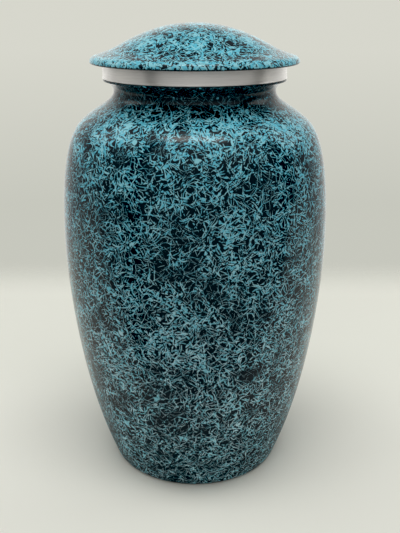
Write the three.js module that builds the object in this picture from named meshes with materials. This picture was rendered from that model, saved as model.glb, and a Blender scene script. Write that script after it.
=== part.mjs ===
// A lidded funeral urn of aluminium, in three pieces: a tall shouldered vessel that is lacquered outside, a bare
// turned collar set in its neck, and a low domed lid that lifts off. Lengths are in millimetres, +Z is up, and
// the origin is the centre of the flat underside.
import * as THREE from "three";

// Driving dimensions
const HEIGHT = 267;
const BELLY_RADIUS = 78.3;
const BELLY_HEIGHT = 144.3;
const BASE_RADIUS = 50.4;
const SHOULDER_RADIUS = 62.1;
const SHOULDER_HEIGHT = 216.5;
const WAIST_RADIUS = 46.2;
const WAIST_HEIGHT = 230.8;
const COLLAR_RADIUS = 52.3;
const COLLAR_BOTTOM = 237.75;
const LID_RADIUS = 58.95;
const LID_BOTTOM = 245.6;
const MOUTH_RADIUS = 39;
const WALL = 2.5;
const FIT_GAP = 0.3; // between pieces that touch

// Directions of the outline, in degrees up from straight outwards
const UP = 90;
const INWARD = 180;
const FOOT_LEAN = 68.7;
const SHOULDER_LEAN = 140.6;
const LID_RIM_LEAN = 162.5;
const LID_COVE_LEAN = 153.7;

// How far each stretch of outline pulls along its direction, at its lower and its upper end
const FLANK_PULL = [62, 14.4];
const SHOULDER_PULL = [62.1, 6.7];
const NECK_PULL = [9.4, 5.4];
const RIM_PULL = [1.2, 1];
const COVE_PULL = [10.3, 12.4];
const DOME_PULL = [17.7, 8.74];

// Straight pieces that each stretch is drawn with
const OUTSIDE_PIECES = { flank: 11, shoulder: 8, neck: 4, flare: 3, rim: 3, cove: 5, dome: 7 };
const INSIDE_PIECES = { flank: 6, shoulder: 5, neck: 3, cove: 2, dome: 4 };
const ROUNDED_EDGE_PIECES = 2;

// Vessel
const FOOT_EDGE = 3; // radius of the rounded edge between the underside and the wall
const FLOOR_THICKNESS = 3.5;
const FLOOR_FILLET = 6;
const LIP_FLARE = { centreRadius: 56, rise: 6.2 }; // quarter ellipse above the waist
const LIP_SETBACK = 0.4; // how far the lip stays inside the collar's edge
const LIP_RADIUS = COLLAR_RADIUS - LIP_SETBACK;
const LIP_TOP = COLLAR_BOTTOM - FIT_GAP;
const NECK_BORE = WAIST_RADIUS - WALL;

// Collar
const COLLAR_TOP = LID_BOTTOM - FIT_GAP;
const COLLAR_BEVEL = 0.7; // at its lower outer edge
const COLLAR_EDGE = 0.3; // at its other edges
const SLEEVE_RADIUS = NECK_BORE - FIT_GAP;
const SLEEVE_LENGTH = 11.75;
const SLEEVE_BOTTOM = COLLAR_BOTTOM - SLEEVE_LENGTH;

// Lid
const RIM_EDGE = 0.8; // radius of the rim's lower edge
const RIM_ROUNDING = 2.84; // how far the rim draws in towards its top
const RIM_THICKNESS = 4.48;
const COVE_RADIUS = 36.9; // where the hollow cove turns into the dome
const COVE_HEIGHT = 258.06;
const SEAT_INNER_RADIUS = 49.5; // inner edge of the flat ring that rests on the collar
const SPIGOT_RADIUS = MOUTH_RADIUS - FIT_GAP;
const SPIGOT_LENGTH = 11;
const SPIGOT_WALL = 3;

const SEGMENTS = 56; // a multiple of 4, so that the widest points lie on the axes
const HALVINGS = 40; // of a search along a curve

const at = (radius, height) => new THREE.Vector2(radius, height);

function step(point, degrees, distance) {
  const angle = THREE.MathUtils.degToRad(degrees);
  return at(
    point.x + distance * Math.cos(angle),
    point.y + distance * Math.sin(angle),
  );
}

// A curve that leaves one point in a direction and arrives at another in a second direction.
function sweep(start, startLean, end, endLean, [startPull, endPull]) {
  return new THREE.CubicBezierCurve(
    start,
    step(start, startLean, startPull),
    step(end, endLean, -endPull),
    end,
  );
}

// Points of an arc that starts level at the given radius and height and turns up to a lean.
function risingArc(startRadius, height, arcRadius, lean) {
  const points = [];
  for (let i = 0; i <= ROUNDED_EDGE_PIECES; i++) {
    const angle = THREE.MathUtils.degToRad((lean * i) / ROUNDED_EDGE_PIECES);
    points.push(
      at(
        startRadius + arcRadius * Math.sin(angle),
        height + arcRadius * (1 - Math.cos(angle)),
      ),
    );
  }
  return points;
}

// The point one wall thickness inside a curve that runs up the outside.
function insidePoint(curve, u) {
  const point = curve.getPoint(u);
  const along = curve.getTangent(u);
  return at(point.x - WALL * along.y, point.y + WALL * along.x);
}

// The inside of a stretch of curve, from its top down, without the point at the stretch's lower end.
function insideDown(curve, pieces, from = 0, to = 1) {
  const points = [];
  for (let i = pieces; i > 0; i--) {
    points.push(insidePoint(curve, from + ((to - from) * i) / pieces));
  }
  return points;
}

// How far along a curve that runs inwards its inside reaches a radius.
function reach(curve, radius) {
  let low = 0;
  let high = 1;
  for (let i = 0; i < HALVINGS; i++) {
    const middle = (low + high) / 2;
    if (insidePoint(curve, middle).x > radius) low = middle;
    else high = middle;
  }
  return low;
}

function turned(name, profile, material) {
  const geometry = new THREE.LatheGeometry(profile, SEGMENTS);
  geometry.rotateX(Math.PI / 2);
  const mesh = new THREE.Mesh(geometry, material);
  mesh.name = name;
  return mesh;
}

function vesselProfile() {
  const edge = risingArc(BASE_RADIUS, 0, FOOT_EDGE, FOOT_LEAN);
  const foot = edge[edge.length - 1];
  const belly = at(BELLY_RADIUS, BELLY_HEIGHT);
  const shoulderTop = at(SHOULDER_RADIUS, SHOULDER_HEIGHT);
  const waist = at(WAIST_RADIUS, WAIST_HEIGHT);
  const flank = sweep(foot, FOOT_LEAN, belly, UP, FLANK_PULL);
  const shoulder = sweep(belly, UP, shoulderTop, SHOULDER_LEAN, SHOULDER_PULL);
  const neck = sweep(shoulderTop, SHOULDER_LEAN, waist, UP, NECK_PULL);

  const flareWidth = LIP_FLARE.centreRadius - WAIST_RADIUS;
  const flareEnd = Math.acos((LIP_RADIUS - LIP_FLARE.centreRadius) / flareWidth);
  const flare = new THREE.EllipseCurve(
    LIP_FLARE.centreRadius,
    WAIST_HEIGHT,
    flareWidth,
    LIP_FLARE.rise,
    Math.PI,
    flareEnd,
    true,
  );

  // The floor's fillet ends on the straight line that the inside of the flank starts along.
  const lean = THREE.MathUtils.degToRad(FOOT_LEAN);
  const filletRise = FLOOR_FILLET * (1 - Math.cos(lean));
  const wallStart = insidePoint(flank, 0);
  const filletTop = FLOOR_THICKNESS + filletRise;
  const filletOuter = wallStart.x + (filletTop - wallStart.y) / Math.tan(lean);
  const filletStart = filletOuter - FLOOR_FILLET * Math.sin(lean);
  const fillet = risingArc(filletStart, FLOOR_THICKNESS, FLOOR_FILLET, FOOT_LEAN);

  return [
    at(0, 0),
    ...edge,
    ...flank.getPoints(OUTSIDE_PIECES.flank).slice(1),
    ...shoulder.getPoints(OUTSIDE_PIECES.shoulder).slice(1),
    ...neck.getPoints(OUTSIDE_PIECES.neck).slice(1),
    ...flare.getPoints(OUTSIDE_PIECES.flare).slice(1),
    at(LIP_RADIUS, LIP_TOP),
    at(NECK_BORE, LIP_TOP),
    ...insideDown(neck, INSIDE_PIECES.neck),
    ...insideDown(shoulder, INSIDE_PIECES.shoulder),
    ...insideDown(flank, INSIDE_PIECES.flank),
    ...fillet.reverse(),
    at(0, FLOOR_THICKNESS),
  ];
}

function collarProfile() {
  const start = at(MOUTH_RADIUS, SLEEVE_BOTTOM);
  return [
    start,
    at(SLEEVE_RADIUS - COLLAR_EDGE, SLEEVE_BOTTOM),
    at(SLEEVE_RADIUS, SLEEVE_BOTTOM + COLLAR_EDGE),
    at(SLEEVE_RADIUS, COLLAR_BOTTOM),
    at(COLLAR_RADIUS - COLLAR_BEVEL, COLLAR_BOTTOM),
    at(COLLAR_RADIUS, COLLAR_BOTTOM + COLLAR_BEVEL),
    at(COLLAR_RADIUS, COLLAR_TOP - COLLAR_EDGE),
    at(COLLAR_RADIUS - COLLAR_EDGE, COLLAR_TOP),
    at(MOUTH_RADIUS + COLLAR_EDGE, COLLAR_TOP),
    at(MOUTH_RADIUS, COLLAR_TOP - COLLAR_EDGE),
    start,
  ];
}

function lidProfile() {
  const edge = risingArc(LID_RADIUS - RIM_EDGE, LID_BOTTOM, RIM_EDGE, UP);
  const edgeTop = edge[edge.length - 1];
  const rimTop = at(LID_RADIUS - RIM_ROUNDING, LID_BOTTOM + RIM_THICKNESS);
  const coveEnd = at(COVE_RADIUS, COVE_HEIGHT);
  const rim = sweep(edgeTop, UP, rimTop, LID_RIM_LEAN, RIM_PULL);
  const cove = sweep(rimTop, LID_RIM_LEAN, coveEnd, LID_COVE_LEAN, COVE_PULL);
  const dome = sweep(coveEnd, LID_COVE_LEAN, at(0, HEIGHT), INWARD, DOME_PULL);

  const spigotBore = SPIGOT_RADIUS - SPIGOT_WALL;
  const spigotBottom = LID_BOTTOM - SPIGOT_LENGTH;
  const domeAtBore = reach(dome, spigotBore);
  const coveAtSpigot = reach(cove, SPIGOT_RADIUS);
  const coveAtSeat = reach(cove, SEAT_INNER_RADIUS);
  return [
    ...insideDown(dome, INSIDE_PIECES.dome, domeAtBore),
    insidePoint(dome, domeAtBore),
    at(spigotBore, spigotBottom),
    at(SPIGOT_RADIUS, spigotBottom),
    ...insideDown(cove, INSIDE_PIECES.cove, coveAtSeat, coveAtSpigot),
    insidePoint(cove, coveAtSeat),
    at(SEAT_INNER_RADIUS, LID_BOTTOM),
    ...edge,
    ...rim.getPoints(OUTSIDE_PIECES.rim).slice(1),
    ...cove.getPoints(OUTSIDE_PIECES.cove).slice(1),
    ...dome.getPoints(OUTSIDE_PIECES.dome).slice(1),
  ];
}

const lacquer = new THREE.MeshStandardMaterial({
  color: "#2b7383",
  roughness: 0.2,
  metalness: 0,
});
const aluminium = new THREE.MeshStandardMaterial({
  color: "#c9c7c2",
  roughness: 0.35,
  metalness: 1,
});

const urn = new THREE.Group();
urn.add(turned("body", vesselProfile(), lacquer));
urn.add(turned("neck_ring", collarProfile(), aluminium));
urn.add(turned("lid", lidProfile(), lacquer));

export default urn;
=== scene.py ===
# A lidded aluminium urn: speckled lacquer on the vessel and the lid, a bare turned collar between them.
import math

import bpy
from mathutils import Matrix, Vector


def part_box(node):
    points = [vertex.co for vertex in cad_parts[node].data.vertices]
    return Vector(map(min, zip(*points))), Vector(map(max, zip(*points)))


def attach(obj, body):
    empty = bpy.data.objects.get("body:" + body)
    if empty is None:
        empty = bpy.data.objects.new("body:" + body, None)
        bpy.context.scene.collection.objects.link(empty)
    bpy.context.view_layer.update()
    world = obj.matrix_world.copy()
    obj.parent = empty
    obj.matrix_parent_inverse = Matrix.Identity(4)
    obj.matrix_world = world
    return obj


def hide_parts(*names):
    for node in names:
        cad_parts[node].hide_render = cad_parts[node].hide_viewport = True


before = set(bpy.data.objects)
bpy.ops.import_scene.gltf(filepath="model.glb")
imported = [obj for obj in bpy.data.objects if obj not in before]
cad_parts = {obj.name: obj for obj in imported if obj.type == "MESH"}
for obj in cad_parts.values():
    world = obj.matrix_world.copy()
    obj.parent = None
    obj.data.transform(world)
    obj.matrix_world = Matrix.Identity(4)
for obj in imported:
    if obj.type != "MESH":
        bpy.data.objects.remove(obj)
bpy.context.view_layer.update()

MM = 0.001


# Driving dimensions from the frame, in millimetres
def lowest(node):
    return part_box(node)[0] / MM


def highest(node):
    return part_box(node)[1] / MM


BELLY_RADIUS = highest("body").x
LIP_TOP = highest("body").z
COLLAR_RADIUS = highest("neck_ring").x
COLLAR_TOP = highest("neck_ring").z
SLEEVE_BOTTOM = lowest("neck_ring").z
LID_RADIUS = highest("lid").x
LID_TOP = highest("lid").z
SPIGOT_BOTTOM = lowest("lid").z

# Sizes that the vessel, the collar and the lid share
FIT_GAP = 0.3
WALL = 2.5
MOUTH_RADIUS = 39
WAIST_RADIUS = 46.2
WAIST_HEIGHT = 230.8
COLLAR_BOTTOM = LIP_TOP + FIT_GAP
LID_BOTTOM = COLLAR_TOP + FIT_GAP
NECK_BORE = WAIST_RADIUS - WALL

# Directions of the outlines, in degrees up from straight outwards
UP = 90
INWARD = 180
FOOT_LEAN = 68.7
SHOULDER_LEAN = 140.6
LID_RIM_LEAN = 162.5
LID_COVE_LEAN = 153.7

# How far each stretch of outline pulls along its direction, at its lower and its upper end
FLANK_PULL = (62, 14.4)
SHOULDER_PULL = (62.1, 6.7)
NECK_PULL = (9.4, 5.4)
RIM_PULL = (1.5, 1.9)
COVE_PULL = (10.3, 12.4)
DOME_PULL = (17.7, 8.74)

# How finely the pieces are drawn
SEGMENTS = 192
OUTSIDE_PIECES = {"flank": 40, "shoulder": 30, "neck": 12, "rim": 10, "cove": 20, "dome": 30}
INSIDE_PIECES = {"flank": 20, "shoulder": 16, "neck": 8, "cove": 8, "dome": 16}
FOOT_EDGE_PIECES = 8
FILLET_PIECES = 6
LIP_FLARE_PIECES = 10
COLLAR_FLARE_PIECES = 6
RIM_EDGE_PIECES = 6
SMALL_EDGE_PIECES = 3
SHARP_ANGLE = math.radians(32)
ON_AXIS = 1e-6  # a smaller radius is on the axis
HALVINGS = 40  # of a search along a curve


# Outlines: a point is (radius, height)
def step(point, degrees, distance):
    angle = math.radians(degrees)
    return (point[0] + distance * math.cos(angle), point[1] + distance * math.sin(angle))


def cubic(corners, u):
    v = 1 - u
    weights = (v**3, 3 * v * v * u, 3 * v * u * u, u**3)
    return tuple(sum(w * c[k] for w, c in zip(weights, corners)) for k in (0, 1))


def cubic_direction(corners, u):
    v = 1 - u
    weights = (v * v, 2 * v * u, u * u)
    sides = [(b[0] - a[0], b[1] - a[1]) for a, b in zip(corners, corners[1:])]
    along = Vector([sum(w * s[k] for w, s in zip(weights, sides)) for k in (0, 1)])
    return along.normalized()


def sweep(start, start_lean, end, end_lean, pulls):
    """The corners of a curve that leaves one point in a direction and arrives at another in a second one."""
    return (start, step(start, start_lean, pulls[0]), step(end, end_lean, -pulls[1]), end)


def outside(curve, pieces):
    """Points up a curve, without its first one."""
    return [cubic(curve, i / pieces) for i in range(1, pieces + 1)]


def inside_point(curve, u):
    """The point one wall thickness inside a curve that runs up the outside."""
    point = cubic(curve, u)
    along = cubic_direction(curve, u)
    return (point[0] - WALL * along.y, point[1] + WALL * along.x)


def inside_down(curve, pieces, low=0.0, high=1.0):
    """Points down the inside of a curve, without the last one."""
    return [inside_point(curve, low + (high - low) * i / pieces) for i in range(pieces, 0, -1)]


def reach(curve, radius):
    """How far along a curve that runs inwards its inside reaches a radius."""
    low, high = 0.0, 1.0
    for _ in range(HALVINGS):
        middle = (low + high) / 2
        if inside_point(curve, middle)[0] > radius:
            low = middle
        else:
            high = middle
    return low


def arc(centre, radius, start, end, pieces):
    """Points of a round edge between two directions, both ends included."""
    return [step(centre, start + (end - start) * i / pieces, radius) for i in range(pieces + 1)]


# Meshes
def placed(name, data):
    """A new object in the scene."""
    made = bpy.data.objects.new(name, data)
    bpy.context.scene.collection.objects.link(made)
    return made


def add_ring(vertices, radius, height):
    """Adds a ring of vertices, or a single one on the axis, and gives a number for each segment."""
    first = len(vertices)
    if radius < ON_AXIS:
        vertices.append((0, 0, height * MM))
        return [first] * SEGMENTS
    for i in range(SEGMENTS):
        angle = 2 * math.pi * i / SEGMENTS
        vertices.append((radius * math.cos(angle) * MM, radius * math.sin(angle) * MM, height * MM))
    return list(range(first, first + SEGMENTS))


def revolved(name, bands):
    """A closed mesh turned from bands of outline, each the number of a material and the band's points.

    The outline runs with the metal on its left. It goes from axis to axis, or else closes on its own start.
    A face takes the material of the point that its strip ends on.
    """
    points = [point for _, band in bands for point in band]
    slots = [slot for slot, band in bands for _ in band]
    vertices = []
    rings = [add_ring(vertices, radius, height) for radius, height in points]
    strips = len(points) - 1 if points[0][0] < ON_AXIS else len(points)
    faces = []
    face_slots = []
    for k in range(strips):
        following = (k + 1) % len(points)
        lower, upper = rings[k], rings[following]
        for i in range(SEGMENTS):
            j = (i + 1) % SEGMENTS
            corners = (lower[i], lower[j], upper[j], upper[i])
            faces.append(tuple(dict.fromkeys(corners)))  # a triangle at the axis, where two corners are one
            face_slots.append(slots[following])
    mesh = bpy.data.meshes.new(name)
    mesh.from_pydata(vertices, [], faces)
    for polygon, slot in zip(mesh.polygons, face_slots):
        polygon.material_index = slot
        polygon.use_smooth = True
    mesh.set_sharp_from_angle(angle=SHARP_ANGLE)
    return placed(name, mesh)


def dressed(piece, node, materials):
    for material in materials:
        piece.data.materials.append(material)
    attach(piece, "root")
    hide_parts(node)


# Vessel
BASE_RADIUS = 50.4
BELLY_HEIGHT = 144.3
SHOULDER_TOP = (62.1, 216.5)
FOOT_EDGE = 3
FLOOR_THICKNESS = 3.5
FLOOR_FILLET = 6
LIP_FLARE_CENTRE = 56
LIP_FLARE_RISE = 6.2
LIP_SETBACK = 0.4  # how far the lip stays inside the collar's edge
LIP_RADIUS = COLLAR_RADIUS - LIP_SETBACK
LIP_EDGE = 0.25


def lip_flare():
    """Points of the quarter ellipse above the waist, as far out as the lip, without the first one."""
    width = LIP_FLARE_CENTRE - WAIST_RADIUS
    turn = math.acos((LIP_FLARE_CENTRE - LIP_RADIUS) / width)
    points = []
    for i in range(1, LIP_FLARE_PIECES + 1):
        angle = turn * i / LIP_FLARE_PIECES
        radius = LIP_FLARE_CENTRE - width * math.cos(angle)
        points.append((radius, WAIST_HEIGHT + LIP_FLARE_RISE * math.sin(angle)))
    return points


def floor_fillet(flank):
    """Points down the round inner corner between the wall and the floor."""
    lean = math.radians(FOOT_LEAN)
    wall_start = inside_point(flank, 0)
    top = FLOOR_THICKNESS + FLOOR_FILLET * (1 - math.cos(lean))
    outer = wall_start[0] + (top - wall_start[1]) / math.tan(lean)  # on the line that the wall starts along
    centre = (outer - FLOOR_FILLET * math.sin(lean), FLOOR_THICKNESS + FLOOR_FILLET)
    return arc(centre, FLOOR_FILLET, FOOT_LEAN - UP, -UP, FILLET_PIECES)


def vessel_bands():
    edge = arc((BASE_RADIUS, FOOT_EDGE), FOOT_EDGE, -UP, FOOT_LEAN - UP, FOOT_EDGE_PIECES)
    belly = (BELLY_RADIUS, BELLY_HEIGHT)
    waist = (WAIST_RADIUS, WAIST_HEIGHT)
    stretches = {
        "flank": sweep(edge[-1], FOOT_LEAN, belly, UP, FLANK_PULL),
        "shoulder": sweep(belly, UP, SHOULDER_TOP, SHOULDER_LEAN, SHOULDER_PULL),
        "neck": sweep(SHOULDER_TOP, SHOULDER_LEAN, waist, UP, NECK_PULL),
    }
    lip = arc((LIP_RADIUS - LIP_EDGE, LIP_TOP - LIP_EDGE), LIP_EDGE, 0, UP, SMALL_EDGE_PIECES)

    painted = [(0, 0), (BASE_RADIUS / 2, 0), *edge]
    for name, curve in stretches.items():
        painted += outside(curve, OUTSIDE_PIECES[name])
    painted += lip_flare() + lip

    bare = [(NECK_BORE, LIP_TOP)]
    for name, curve in reversed(stretches.items()):
        bare += inside_down(curve, INSIDE_PIECES[name])
    bare += floor_fillet(stretches["flank"]) + [(0, FLOOR_THICKNESS)]
    return [(0, painted), (1, bare)]


# Collar
COLLAR_EDGE = 0.3
COLLAR_FOOT_EDGE = 0.08
COLLAR_FLARE_HEIGHT = 1.7
COLLAR_FLARE_DEPTH = 0.4  # how far the foot stands out from the face
SLEEVE_RADIUS = NECK_BORE - FIT_GAP


def collar_bands():
    face = COLLAR_RADIUS - COLLAR_FLARE_DEPTH
    inner_top = MOUTH_RADIUS + COLLAR_EDGE
    edge_height = COLLAR_TOP - COLLAR_EDGE
    foot = []
    for i in range(COLLAR_FLARE_PIECES + 1):
        rise = i / COLLAR_FLARE_PIECES
        height = COLLAR_BOTTOM + COLLAR_FOOT_EDGE + COLLAR_FLARE_HEIGHT * rise
        foot.append((face + COLLAR_FLARE_DEPTH * (1 - rise) ** 2, height))
    ring = [
        (MOUTH_RADIUS, SLEEVE_BOTTOM),
        (SLEEVE_RADIUS - COLLAR_EDGE, SLEEVE_BOTTOM),
        (SLEEVE_RADIUS, SLEEVE_BOTTOM + COLLAR_EDGE),
        (SLEEVE_RADIUS, COLLAR_BOTTOM),
        (COLLAR_RADIUS - COLLAR_FOOT_EDGE, COLLAR_BOTTOM),
        *foot,
        *arc((face - COLLAR_EDGE, edge_height), COLLAR_EDGE, 0, UP, SMALL_EDGE_PIECES),
        *arc((inner_top, edge_height), COLLAR_EDGE, UP, INWARD, SMALL_EDGE_PIECES),
    ]
    return [(0, ring)]


# Lid
RIM_EDGE = 0.8
RIM_ROUNDING = 3.0  # how far the rim draws in towards its top
RIM_THICKNESS = 4.2
COVE_END = (36.9, 258.06)  # where the hollow cove turns into the dome
SEAT_INNER_RADIUS = 49.5
SPIGOT_RADIUS = MOUTH_RADIUS - FIT_GAP
SPIGOT_WALL = 3


def lid_bands():
    """The lid's outline. Its seat is bare as far out as the collar, and painted from there to the rim."""
    edge_centre = (LID_RADIUS - RIM_EDGE, LID_BOTTOM + RIM_EDGE)
    edge = arc(edge_centre, RIM_EDGE, -UP, 0, RIM_EDGE_PIECES)
    rim_top = (LID_RADIUS - RIM_ROUNDING, LID_BOTTOM + RIM_THICKNESS)
    rim = sweep(edge[-1], UP, rim_top, LID_RIM_LEAN, RIM_PULL)
    cove = sweep(rim_top, LID_RIM_LEAN, COVE_END, LID_COVE_LEAN, COVE_PULL)
    dome = sweep(COVE_END, LID_COVE_LEAN, (0, LID_TOP), INWARD, DOME_PULL)

    spigot_bore = SPIGOT_RADIUS - SPIGOT_WALL
    dome_at_bore = reach(dome, spigot_bore)
    cove_at_spigot = reach(cove, SPIGOT_RADIUS)
    cove_at_seat = reach(cove, SEAT_INNER_RADIUS)
    bare = [
        *inside_down(dome, INSIDE_PIECES["dome"], dome_at_bore),
        inside_point(dome, dome_at_bore),
        (spigot_bore, SPIGOT_BOTTOM),
        (SPIGOT_RADIUS, SPIGOT_BOTTOM),
        *inside_down(cove, INSIDE_PIECES["cove"], cove_at_seat, cove_at_spigot),
        inside_point(cove, cove_at_seat),
        (SEAT_INNER_RADIUS, LID_BOTTOM),
        (COLLAR_RADIUS, LID_BOTTOM),
    ]
    painted = [
        *edge,
        *outside(rim, OUTSIDE_PIECES["rim"]),
        *outside(cove, OUTSIDE_PIECES["cove"]),
        *outside(dome, OUTSIDE_PIECES["dome"]),
    ]
    return [(1, bare), (0, painted)]


# Node trees
class Graph:
    """Short calls for building a node tree. Any value may be a number, a tuple or another node's output."""

    def __init__(self, tree):
        self.tree = tree
        tree.nodes.clear()

    def feed(self, socket, value):
        if isinstance(value, bpy.types.NodeSocket):
            self.tree.links.new(value, socket)
        else:
            socket.default_value = value

    def node(self, kind, inputs=None, **settings):
        """A new node with its settings, and its inputs fed by name or number."""
        made = self.tree.nodes.new(kind)
        for key, value in settings.items():
            setattr(made, key, value)
        for key, value in (inputs or {}).items():
            self.feed(made.inputs[key], value)
        return made

    def math(self, operation, a, b=0.0):
        return self.node("ShaderNodeMath", {0: a, 1: b}, operation=operation).outputs[0]

    def total(self, first, *rest):
        for term in rest:
            first = self.math("ADD", first, term)
        return first

    def product(self, first, *rest):
        for factor in rest:
            first = self.math("MULTIPLY", first, factor)
        return first

    def vector(self, operation, a, b=(0.0, 0.0, 0.0)):
        made = self.node("ShaderNodeVectorMath", {0: a, 1: b}, operation=operation)
        return made.outputs["Value" if operation in ("DOT_PRODUCT", "LENGTH") else "Vector"]

    def times(self, a, scale):
        return self.node("ShaderNodeVectorMath", {0: a, "Scale": scale}, operation="SCALE").outputs[0]

    def parts(self, vector):
        """The three parts of a vector."""
        return list(self.node("ShaderNodeSeparateXYZ", {0: vector}).outputs)

    def ramp(self, value, low, high, to_low=0.0, to_high=1.0, smooth=True):
        """value carried from low..high to to_low..to_high, and held at both ends."""
        inputs = dict(enumerate((value, low, high, to_low, to_high)))
        kind = "SMOOTHSTEP" if smooth else "LINEAR"
        return self.node("ShaderNodeMapRange", inputs, interpolation_type=kind).outputs[0]

    def blend(self, share, a, b):
        """Colour a, and more of colour b the larger the share."""
        made = self.node("ShaderNodeMix", {0: share}, data_type="RGBA")
        for socket, colour in zip([s for s in made.inputs if s.type == "RGBA"], (a, b)):
            self.feed(socket, colour)
        return next(s for s in made.outputs if s.type == "RGBA")

    def noise(self, place, size, detail=2.0, roughness=0.5, output="Fac"):
        """Noise about 0.5 whose features are about size millimetres across, at a place in millimetres."""
        inputs = {"Vector": place, "Scale": 1 / size, "Detail": detail, "Roughness": roughness}
        return self.node("ShaderNodeTexNoise", inputs).outputs[output]

    def bump(self, level, strength, depth):
        """A normal that level raises, by a depth in millimetres."""
        inputs = {"Strength": strength, "Distance": depth * MM, "Height": level}
        return self.node("ShaderNodeBump", inputs).outputs[0]

    def millimetres(self):
        """The place on the piece."""
        return self.times(self.node("ShaderNodeTexCoord").outputs["Object"], 1 / MM)


def linear(red, green, blue):
    """A colour given in display levels of 0 to 255, as the shaders take it."""
    levels = [v / 255 for v in (red, green, blue)]
    return tuple(v / 12.92 if v <= 0.04045 else ((v + 0.055) / 1.055) ** 2.4 for v in levels) + (1.0,)


def new_material(name):
    material = bpy.data.materials.new(name)
    material.use_nodes = True
    return material, Graph(material.node_tree)


def finish_surface(g, inputs):
    shader = g.node("ShaderNodeBsdfPrincipled", inputs)
    g.node("ShaderNodeOutputMaterial", {"Surface": shader.outputs[0]})


# Speckled lacquer: teal flecks and thin strokes over a black coat, under clear gloss
BLACK_COAT = linear(2, 25, 36)
TEAL_HIGH = linear(98, 189, 214)
TEAL_LOW = linear(130, 198, 214)
PALE_HIGH = linear(138, 205, 221)
PALE_LOW = linear(184, 223, 234)
FADE_HEIGHTS = (50, 215)  # between these the low shades turn into the high ones

BEND_SIZE = 10.0  # the bends that flecks and strokes follow
BEND_REACH = 5.0
MIDDLE = (0.5, 0.5, 0.5)  # of the colours that noise and cells give

FLECK_SIZE = 6.0
FLECK_WAVES = 2.5
FLECK_LEVEL = 0.60
FLECK_SOFT = 0.05
FLECK_COVER = (0.3, 1.6, -0.08, 0.16)  # two spreads, and what they add to the waves

STROKES = (
    # kind, cell and width in millimetres, in painting order
    ("teal", 7.0, 0.60),
    ("black", 5.0, 0.56),
    ("teal", 6.0, 0.50),
    ("black", 3.8, 0.50),
    ("teal", 7.5, 0.48),
    ("pale", 6.0, 0.44),
    ("black", 4.4, 0.46),
    ("teal", 5.0, 0.42),
    ("pale", 4.0, 0.38),
    ("pale", 2.8, 0.34),
    ("black", 3.0, 0.30),
)
STROKE_SOFT = 0.055
STROKE_TAPER = (0.2, 0.95, 1.0, 0.25)  # two distances from a cell's middle, and the width's shares there
LAYER_SHIFT = (7.3, 3.1, 5.7)  # in cells, from one layer to the next
LID_COARSENESS = 1.1  # the pattern's size on the lid

# Patches: the size of broad and close ones, how much the close ones count, and the noise that they span
BROAD_PATCH = 26.0
CLOSE_PATCH = 9.0
CLOSE_SHARE = 0.65
PATCH_NOISE = (0.34, 0.68)

# The spread of the strokes: its range in patches, and pairs of heights with the factors at them. Fewer
# strokes leave more black coat, and some of these factors paint shade
BODY_PATCHES = (0.17, 1.15)
BODY_SPREAD_AND_SHADE = (
    (0.3, 1.5, 0.0, 1.0),  # none under the foot
    (8.0, 75.0, 0.7, 1.03),  # fewer low down: painted shade that darkens the foot
    (192.0, 214.0, 1.0, 1.65),  # more on the shoulder
    (WAIST_HEIGHT - 9.8, WAIST_HEIGHT - 1.8, 1.0, 0.12),  # few in the neck: partly sparser paint, partly painted shade under the collar and the lid
)
LID_PATCHES = (0.45, 1.6)
LID_SPREAD_AND_SHADE = (
    (LID_BOTTOM + 0.5, LID_BOTTOM + 1.2, 0.0, 1.0),  # none under the rim: its underside left black as painted shade
    (LID_BOTTOM + 3.7, LID_BOTTOM + 4.7, 2.3, 1.0),  # more on the rim
    (LID_TOP - 15, LID_TOP - 9, 0.85, 1.45),  # more on the dome than on the cove
    (LID_TOP - 7, LID_TOP - 2, 1.0, 0.8),  # a little fewer on the crown
)

# Clear gloss
PAINT_ROUGHNESS = (0.5, 0.6)
HAZE_SIZE = 40.0
HAZE_NOISE = (0.3, 0.7)
GLOSS_ROUGHNESS = 0.17
GLOSS_IOR = 1.33
GLOSS_WEIGHT = (10.0, 90.0, 0.4, 1.0)  # less gloss towards the foot
PEEL_SIZE = 2.6
PEEL_STRENGTH = 0.2
PEEL_DEPTH = 0.03


def flecks(g, place, more):
    """Short patches that lie side by side in waves, in a new direction every few millimetres."""
    inputs = {"Vector": place, "Scale": 1 / FLECK_SIZE, "Frequency": FLECK_WAVES, "Anisotropy": 0.0}
    waves = g.node("ShaderNodeTexGabor", inputs, gabor_type="3D").outputs["Value"]
    return g.ramp(g.math("ADD", waves, more), FLECK_LEVEL, FLECK_LEVEL + FLECK_SOFT)


def strokes(g, place, cell, width, layer, spread):
    """One layer of strokes: each cell holds a thin sheet in a random direction, which the surface cuts."""
    shift = tuple(layer * part for part in LAYER_SHIFT)
    place = g.vector("ADD", g.times(place, 1 / cell), shift)
    inputs = {"Scale": 1.0, "Vector": place}
    cells = g.node("ShaderNodeTexVoronoi", inputs, voronoi_dimensions="3D", feature="F1")
    away = g.vector("SUBTRACT", place, cells.outputs["Position"])
    facing = g.vector("NORMALIZE", g.vector("SUBTRACT", cells.outputs["Color"], MIDDLE))
    gap = g.product(g.math("ABSOLUTE", g.vector("DOT_PRODUCT", away, facing)), cell)
    taper = g.ramp(cells.outputs["Distance"], *STROKE_TAPER)
    half = g.product(taper, width / 2, spread)
    return g.ramp(g.math("SUBTRACT", gap, half), STROKE_SOFT, -STROKE_SOFT)


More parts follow.
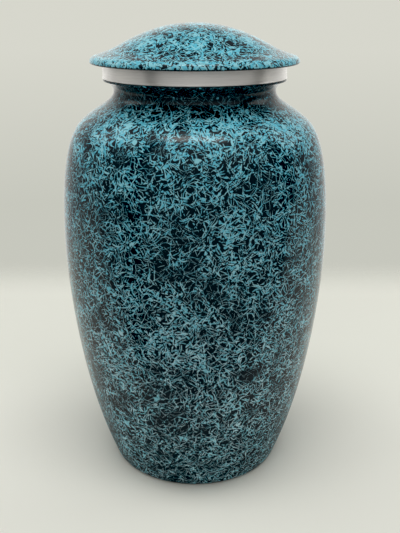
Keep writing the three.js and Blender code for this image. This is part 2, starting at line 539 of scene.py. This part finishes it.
def lacquer_paint(g, place, spread):
    """The colour of the paint under the gloss."""
    _, _, height = g.parts(place)
    rise = g.ramp(height, *FADE_HEIGHTS)
    shades = {
        "black": BLACK_COAT,
        "teal": g.blend(rise, TEAL_LOW, TEAL_HIGH),
        "pale": g.blend(rise, PALE_LOW, PALE_HIGH),
    }
    bend = g.noise(place, BEND_SIZE, detail=1.0, output="Color")
    bend = g.times(g.vector("SUBTRACT", bend, MIDDLE), BEND_REACH)
    bent = g.vector("ADD", place, bend)
    cover = flecks(g, bent, g.ramp(spread, *FLECK_COVER, smooth=False))
    colour = g.blend(cover, BLACK_COAT, shades["teal"])
    for layer, (kind, cell, width) in enumerate(STROKES, 1):
        mark = strokes(g, bent, cell, width, layer, 1.0 if kind == "black" else spread)
        colour = g.blend(mark, colour, shades[kind])
    return colour


def stroke_spread(g, place, patches, changes):
    """How far the strokes spread, about 1: patches of two sizes, and more or less of them by height, where
    fewer also paint shade.
    """
    broad = g.product(g.noise(place, BROAD_PATCH, detail=1.0), 1 - CLOSE_SHARE)
    close = g.product(g.noise(place, CLOSE_PATCH, detail=1.0), CLOSE_SHARE)
    patchy = g.ramp(g.total(broad, close), *PATCH_NOISE, *patches, smooth=False)
    _, _, height = g.parts(place)
    return g.product(patchy, *(g.ramp(height, *change) for change in changes))


def lacquer(name, patches, changes, coarseness=1.0):
    material, g = new_material(name)
    place = g.millimetres()
    _, _, height = g.parts(place)
    spread = stroke_spread(g, place, patches, changes)
    peel = g.noise(place, PEEL_SIZE, detail=1.0)
    haze = g.noise(place, HAZE_SIZE, detail=3.0)
    finish_surface(g, {
        "Base Color": lacquer_paint(g, g.times(place, 1 / coarseness), spread),
        "Roughness": g.ramp(haze, *HAZE_NOISE, *PAINT_ROUGHNESS),
        "Specular IOR Level": 0.0,
        "Coat Weight": g.ramp(height, *GLOSS_WEIGHT),
        "Coat Roughness": GLOSS_ROUGHNESS,
        "Coat IOR": GLOSS_IOR,
        "Coat Normal": g.bump(peel, PEEL_STRENGTH, PEEL_DEPTH),
    })
    return material


# Bare metal
METAL_NOISE = (0.3, 0.7)  # the range of noise that colours and roughness span
CUT_SIZE = 0.35  # of the cutting lines, across them
CUT_LENGTHENING = 50  # of the noise that they come from, round the axis
CUT_STRENGTH = 0.5
CUT_DEPTH = 0.02
CUT_DARK = (0.90, 0.88, 0.865, 1.0)
CUT_LIGHT = (1.0, 0.98, 0.965, 1.0)
TURNED_METALLIC = 0.8
TURNED_STRETCH = 0.7  # of reflections, across the cutting lines
QUARTER_TURN = 0.25
SMEAR_SIZE = 14.0
SMEAR_ROUGHNESS = (0.32, 0.40)
GRAIN_SIZE = 0.8
GRAIN_STRENGTH = 0.4
GRAIN_DEPTH = 0.05
CLOUD_SIZE = 22.0
CLOUD_DARK = (0.52, 0.52, 0.51, 1.0)
CLOUD_LIGHT = (0.66, 0.66, 0.65, 1.0)
CLOUD_ROUGHNESS = (0.5, 0.62)


def turned_aluminium():
    """Metal with fine cutting lines that run round the axis, which draw its reflections out up and down."""
    material, g = new_material("turned_aluminium")
    place = g.millimetres()
    x, y, z = g.parts(place)
    radius = g.vector("LENGTH", g.node("ShaderNodeCombineXYZ", {"X": x, "Y": y}).outputs[0])
    along = g.node("ShaderNodeCombineXYZ", {
        "X": g.product(x, 1 / CUT_LENGTHENING),
        "Y": g.product(y, 1 / CUT_LENGTHENING),
        "Z": g.total(z, radius),
    })
    lines = g.noise(along.outputs[0], CUT_SIZE, detail=3.0, roughness=0.7)
    smears = g.noise(place, SMEAR_SIZE)
    tangent = g.node("ShaderNodeTangent", direction_type="RADIAL", axis="Z")
    finish_surface(g, {
        "Base Color": g.blend(g.ramp(lines, *METAL_NOISE), CUT_DARK, CUT_LIGHT),
        "Metallic": TURNED_METALLIC,
        "Roughness": g.ramp(smears, *METAL_NOISE, *SMEAR_ROUGHNESS),
        "Anisotropic": TURNED_STRETCH,
        "Anisotropic Rotation": QUARTER_TURN,
        "Tangent": tangent.outputs[0],
        "Normal": g.bump(lines, CUT_STRENGTH, CUT_DEPTH),
    })
    return material


def inner_aluminium():
    """The plain grey inside of the vessel and the lid."""
    material, g = new_material("inner_aluminium")
    place = g.millimetres()
    grain = g.noise(place, GRAIN_SIZE, detail=3.0, roughness=0.6)
    clouds = g.noise(place, CLOUD_SIZE, detail=3.0)
    finish_surface(g, {
        "Base Color": g.blend(g.ramp(clouds, *METAL_NOISE), CLOUD_DARK, CLOUD_LIGHT),
        "Metallic": 1.0,
        "Roughness": g.ramp(clouds, *METAL_NOISE, *CLOUD_ROUGHNESS),
        "Normal": g.bump(grain, GRAIN_STRENGTH, GRAIN_DEPTH),
    })
    return material


# Floor, in metres
FLOOR_HALF = 1.6
FLOOR_BACK_FADE = (0.25, 0.36)
FLOOR_FRONT_FADE = (-0.15, -0.095)
FLOOR_HOLE = (0.047, 0.048)  # a little smaller than the base
FLOOR_NEAR = (0.83, 0.83, 0.785, 1.0)
# the far part of the floor is a little darker: painted shade where less light falls towards the backdrop
FLOOR_FAR_SHADED = (0.81, 0.815, 0.765, 1.0)
FLOOR_TURNS_FAR = (0.0, 0.13)


def stage_floor():
    """A pale sheet, a little darker further back as painted shade, that fades out behind the urn and in
    front of it, and is open right under it.
    """
    h = FLOOR_HALF
    mesh = bpy.data.meshes.new("floor")
    mesh.from_pydata([(-h, -h, 0), (h, -h, 0), (h, h, 0), (-h, h, 0)], [], [(0, 1, 2, 3)])
    material, g = new_material("pale_floor")
    mesh.materials.append(material)
    place = g.node("ShaderNodeTexCoord").outputs["Object"]
    _, y, _ = g.parts(place)
    colour = g.blend(g.ramp(y, *FLOOR_TURNS_FAR), FLOOR_NEAR, FLOOR_FAR_SHADED)
    back = g.ramp(y, *FLOOR_BACK_FADE)
    front = g.ramp(y, *FLOOR_FRONT_FADE, 1.0, 0.0)
    hole = g.ramp(g.vector("LENGTH", place), *FLOOR_HOLE, 1.0, 0.0)
    mix = g.node("ShaderNodeMixShader", {
        0: g.math("MAXIMUM", hole, g.math("MAXIMUM", back, front)),
        1: g.node("ShaderNodeBsdfDiffuse", {"Color": colour}).outputs[0],
        2: g.node("ShaderNodeBsdfTransparent").outputs[0],
    })
    g.node("ShaderNodeOutputMaterial", {"Surface": mix.outputs[0]})
    placed("floor", mesh)


# Studio: brightness by direction, where a height is the sine of the angle above the horizon
DAYLIGHT = (1.0, 0.995, 0.95)
ROOM = 0.12  # all round
FRONT = 0.29  # added from the camera's side
BACKDROP = 1.0  # added from behind the urn
BACKDROP_NARROWNESS = 4.0
BACKDROP_TOP = (0.35, 0.65)
BACKDROP_ABOVE = 0.2  # the share of its brightness above that
CEILING = 0.88
CEILING_BEHIND = 0.15  # the share of its brightness on the backdrop's side
CEILING_STARTS = (0.2, 0.6)  # on the camera's side and on the backdrop's
CEILING_FULL = 0.85
LAMPS = 0.4
LAMP_HEIGHTS = (0.85, 0.98)
DARK_STRIPS = ((-54, 9), (85, 12))  # azimuth and half width in degrees
DARK_STRIP_LEVEL = 0.1

# The backdrop that the camera sees
WALL_PALE = linear(215, 215, 205)
WALL_SHADE = linear(199, 200, 190)
WALL_FOOT = linear(212, 212, 202)
SHADE_HEIGHTS = (-0.25, -0.06)
FOOT_HEIGHTS = (-0.36, -0.5)


def room_level(g, x, y, z):
    """How bright the room is in a direction."""
    across = g.math("SQRT", g.total(g.product(x, x), g.product(y, y)))
    turn = g.ramp(g.math("DIVIDE", y, across), -1.0, 1.0, smooth=False)
    behind = g.math("POWER", turn, BACKDROP_NARROWNESS)
    before = g.math("SUBTRACT", 1.0, turn)
    wall = g.product(behind, g.ramp(z, *BACKDROP_TOP, BACKDROP, BACKDROP_ABOVE * BACKDROP))
    low = g.total(wall, g.product(before, FRONT), ROOM)
    ceiling = g.ramp(behind, 0.0, 1.0, CEILING, CEILING_BEHIND * CEILING, smooth=False)
    share = g.ramp(z, g.ramp(behind, 0.0, 1.0, *CEILING_STARTS), CEILING_FULL)
    level = g.total(g.product(share, g.math("SUBTRACT", ceiling, low)), low)
    level = g.total(level, g.ramp(z, *LAMP_HEIGHTS, 0.0, LAMPS))
    azimuth = g.math("DEGREES", g.math("ARCTAN2", x, g.product(y, -1.0)))
    for centre, half in DARK_STRIPS:
        off = g.math("ABSOLUTE", g.math("SUBTRACT", azimuth, centre))
        level = g.product(level, g.ramp(off, half / 2, half, DARK_STRIP_LEVEL, 1.0))
    return level


def stage_world():
    """A pale backdrop for the camera to see, and a room that lights the urn and is mirrored in it."""
    world = bpy.data.worlds.new("studio")
    bpy.context.scene.world = world
    world.use_nodes = True
    g = Graph(world.node_tree)
    x, y, z = g.parts(g.node("ShaderNodeTexCoord").outputs["Generated"])
    seen = g.blend(g.ramp(z, *SHADE_HEIGHTS, smooth=False), WALL_SHADE, WALL_PALE)
    seen = g.blend(g.ramp(z, *FOOT_HEIGHTS), seen, WALL_FOOT)
    room = {"Color": (*DAYLIGHT, 1.0), "Strength": room_level(g, x, y, z)}
    mix = g.node("ShaderNodeMixShader", {
        0: g.node("ShaderNodeLightPath").outputs["Is Camera Ray"],
        1: g.node("ShaderNodeBackground", room).outputs[0],
        2: g.node("ShaderNodeBackground", {"Color": seen}).outputs[0],
    })
    g.node("ShaderNodeOutputWorld", {"Surface": mix.outputs[0]})


# Lamps that face the urn, with lengths in metres and angles in degrees
LAMP_DISTANCE = 1.3
SOFT_LIGHTS = (
    # name, azimuth from the camera's side towards +X, elevation, width, height and brightness
    ("right_window", 110, 32, 0.6, 0.6, 1.0),
    ("left_window", -108, 38, 0.6, 0.6, 1.2),
    ("high_lamp", 0, 79, 0.9, 0.36, 6.5),
)


def soft_light(name, azimuth, elevation, width, height, brightness):
    light = bpy.data.lights.new(name, "AREA")
    light.shape = "RECTANGLE"
    light.size = width
    light.size_y = height
    light.energy = brightness * math.pi * width * height
    light.color = DAYLIGHT
    turn = math.radians(azimuth)
    rise = math.radians(elevation)
    toward = Vector((math.sin(turn) * math.cos(rise), -math.cos(turn) * math.cos(rise), math.sin(rise)))
    lamp = placed(name, light)
    lamp.location = Vector((0, 0, LIP_TOP * MM)) + LAMP_DISTANCE * toward
    lamp.rotation_euler = (-toward).to_track_quat("-Z", "Y").to_euler()


# Camera
CAMERA_PLACE = (0.00293, -0.425, 0.2775)  # metres
CAMERA_PITCH = 19.97  # degrees down
CAMERA_LENS = 49.14  # millimetres, as is the sensor's width
SENSOR = 36.0
CLIP_START = 0.01  # metres


def stage_camera():
    camera = bpy.data.cameras.new("camera")
    camera.lens = CAMERA_LENS
    camera.sensor_width = SENSOR
    camera.clip_start = CLIP_START
    holder = placed("camera", camera)
    holder.location = CAMERA_PLACE
    holder.rotation_euler = (math.radians(UP - CAMERA_PITCH), 0, 0)
    bpy.context.scene.camera = holder


# Tones
BLACK_POINT = 0.0085  # levels up to this are shown as black


def set_tones():
    settings = bpy.context.scene.view_settings
    settings.view_transform = "Standard"
    settings.use_curve_mapping = True
    settings.curve_mapping.black_level = (BLACK_POINT, BLACK_POINT, BLACK_POINT)
    settings.curve_mapping.update()


def main():
    inner = inner_aluminium()
    body_lacquer = lacquer("body_lacquer", BODY_PATCHES, BODY_SPREAD_AND_SHADE)
    lid_lacquer = lacquer("lid_lacquer", LID_PATCHES, LID_SPREAD_AND_SHADE, LID_COARSENESS)
    dressed(revolved("vessel", vessel_bands()), "body", [body_lacquer, inner])
    dressed(revolved("collar", collar_bands()), "neck_ring", [turned_aluminium()])
    dressed(revolved("domed_lid", lid_bands()), "lid", [lid_lacquer, inner])
    stage_floor()
    stage_world()
    for light in SOFT_LIGHTS:
        soft_light(*light)
    stage_camera()
    set_tones()


main()
